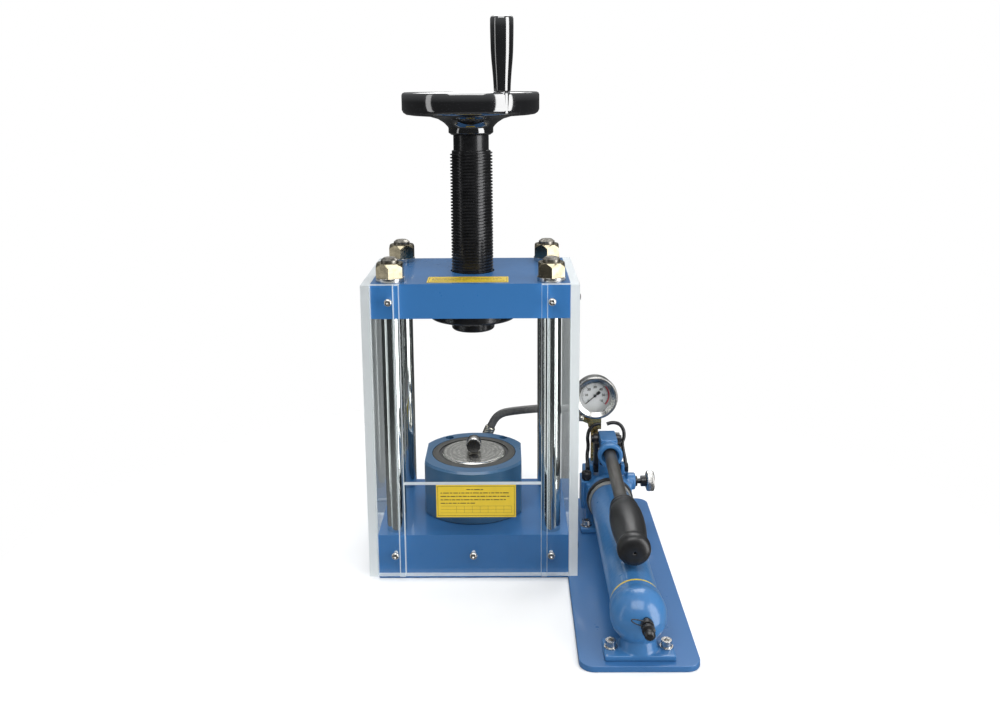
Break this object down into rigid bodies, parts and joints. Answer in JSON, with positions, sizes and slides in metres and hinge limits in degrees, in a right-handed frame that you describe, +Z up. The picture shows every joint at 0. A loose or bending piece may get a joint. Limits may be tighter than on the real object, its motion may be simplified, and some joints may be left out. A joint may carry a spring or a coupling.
{
  "type": "tablet press",
  "caption": "Bench tablet press with lead screw and handwheel, hydraulic ram under a clear shield, and a lever hand pump with a gauge on a side plate.",
  "frame": {"origin": "lead screw axis at the underside of the mounting plate", "axes": "+Z up along the screw, +X towards the pump, -Y towards the user"},
  "size_m": [0.4328, 0.4985, 0.78],
  "materials": {
    "blue_paint": "semi-gloss enamel over machined or cast metal",
    "chrome": "ground and hard-chromed",
    "zinc_yellow": "yellowish zinc plating",
    "bright_steel": "bright plated steel",
    "black_steel": "black oxide with an oil film",
    "steel": "plain machined steel",
    "dark_steel": "dark machined steel",
    "turned_steel": "turned, with concentric tool marks",
    "grey_metal": "matte",
    "bakelite": "polished black phenolic",
    "clear_panel": "clear acrylic with sawn edges",
    "label_yellow": "matte plastic film",
    "mark_yellow": "paint",
    "black_rubber": "moulded",
    "hose_rubber": "ribbed dark grey cover",
    "black_paint": "satin black",
    "grip_rubber": "moulded, fine grain",
    "black_plastic": "moulded",
    "brass": "machined",
    "gauge_glass": "clear",
    "dial_white": "white print"
  },
  "bodies": {
    "frame": {"mounting_plate": "blue_paint", "base_block": "blue_paint", "top_plate": "blue_paint", "column_1": "chrome", "column_2": "chrome", "column_3": "chrome", "column_4": "chrome", "column_nuts": "zinc_yellow", "column_lock_washers": "bright_steel", "lead_nut": "black_steel", "lead_nut_bolts": "black_steel", "side_shield_left": "clear_panel", "side_shield_right": "clear_panel", "front_strip_left": "clear_panel", "front_strip_right": "clear_panel", "guide_ribs": "clear_panel", "front_panel": "clear_panel", "shield_screws": "bright_steel", "label_plates": "label_yellow", "cylinder_body": "blue_paint", "gland_ring": "dark_steel", "rod_wiper": "black_rubber", "pressure_hose": "hose_rubber", "hose_ferrules": "bright_steel", "port_elbow": "steel", "tank_tube": "blue_paint", "tank_clamp_ring": "grey_metal", "tank_seal_ring": "black_rubber", "tank_mark_ring": "mark_yellow", "tie_rod": "steel", "tank_end_cap": "blue_paint", "pump_bolts": "bright_steel", "pump_head": "blue_paint", "gland_nut": "dark_steel", "fulcrum_links": "black_steel", "link_pins": "black_steel", "relief_plug": "black_steel", "gauge_tee": "brass", "gauge_case": "bright_steel", "gauge_bezel": "bright_steel", "gauge_glass": "gauge_glass", "gauge_dial": "dial_white"},
    "foot": {"press_foot": "black_steel"},
    "screw": {"lead_screw": "black_steel", "handwheel": "bakelite", "handwheel_key": "steel", "handwheel_bolt": "bright_steel", "handle_spindle": "steel"},
    "handle": {"handle_grip": "bakelite"},
    "ram": {"ram_piston": "turned_steel", "centre_pin": "steel"},
    "plunger": {"plunger": "turned_steel"},
    "lever": {"rocker": "blue_paint", "plunger_pin": "steel", "lever_tube": "black_paint", "lever_grip": "grip_rubber"},
    "release": {"release_stem": "dark_steel", "release_knob": "bright_steel"},
    "needle": {"gauge_pointer": "black_paint"},
    "vent": {"vent_plug": "black_plastic"}
  },
  "joints": [
    {"name": "screw_travel", "type": "slide", "parent": "frame", "child": "foot", "axis": [0, 0, 1], "range_m": [-0.1655, 0.0005]},
    {"name": "screw_turn", "type": "hinge", "parent": "foot", "child": "screw", "pos_m": [0, 0, 0.5], "axis": [0, 0, 1], "range_deg": [-13200, 0]},
    {"name": "handle_spin", "type": "hinge", "parent": "screw", "child": "handle", "pos_m": [0.04451, -0.07124, 0.73], "axis": [0, 0, 1], "continuous": true},
    {"name": "ram_lift", "type": "slide", "parent": "frame", "child": "ram", "axis": [0, 0, 1], "range_m": [0, 0.03]},
    {"name": "pump_lever", "type": "hinge", "parent": "frame", "child": "lever", "pos_m": [0.208, 0.104, 0.131], "axis": [-1, 0, 0], "range_deg": [0, 60]},
    {"name": "plunger_stroke", "type": "slide", "parent": "frame", "child": "plunger", "axis": [0, 0, 1], "range_m": [-0.0005, 0.0255]},
    {"name": "release_turn", "type": "hinge", "parent": "frame", "child": "release", "pos_m": [0.26, 0.08, 0.069], "axis": [1, 0, 0], "range_deg": [0, 360]},
    {"name": "gauge_needle", "type": "hinge", "parent": "frame", "child": "needle", "pos_m": [0.191, 0.125, 0.196], "axis": [0, 1, 0], "range_deg": [0, 260], "stiffness_Nm_per_rad": 0.002},
    {"name": "vent_turn", "type": "hinge", "parent": "frame", "child": "vent", "pos_m": [0.213, -0.32, 0.063], "axis": [0, -1, 0], "range_deg": [0, 270]}
  ],
  "couplings": [
    {"joint": "screw_travel", "follows": "screw_turn", "m_per_rad": 0.0007162},
    {"joint": "plunger_stroke", "follows": "pump_lever", "m_per_rad": 0.0237}
  ]
}
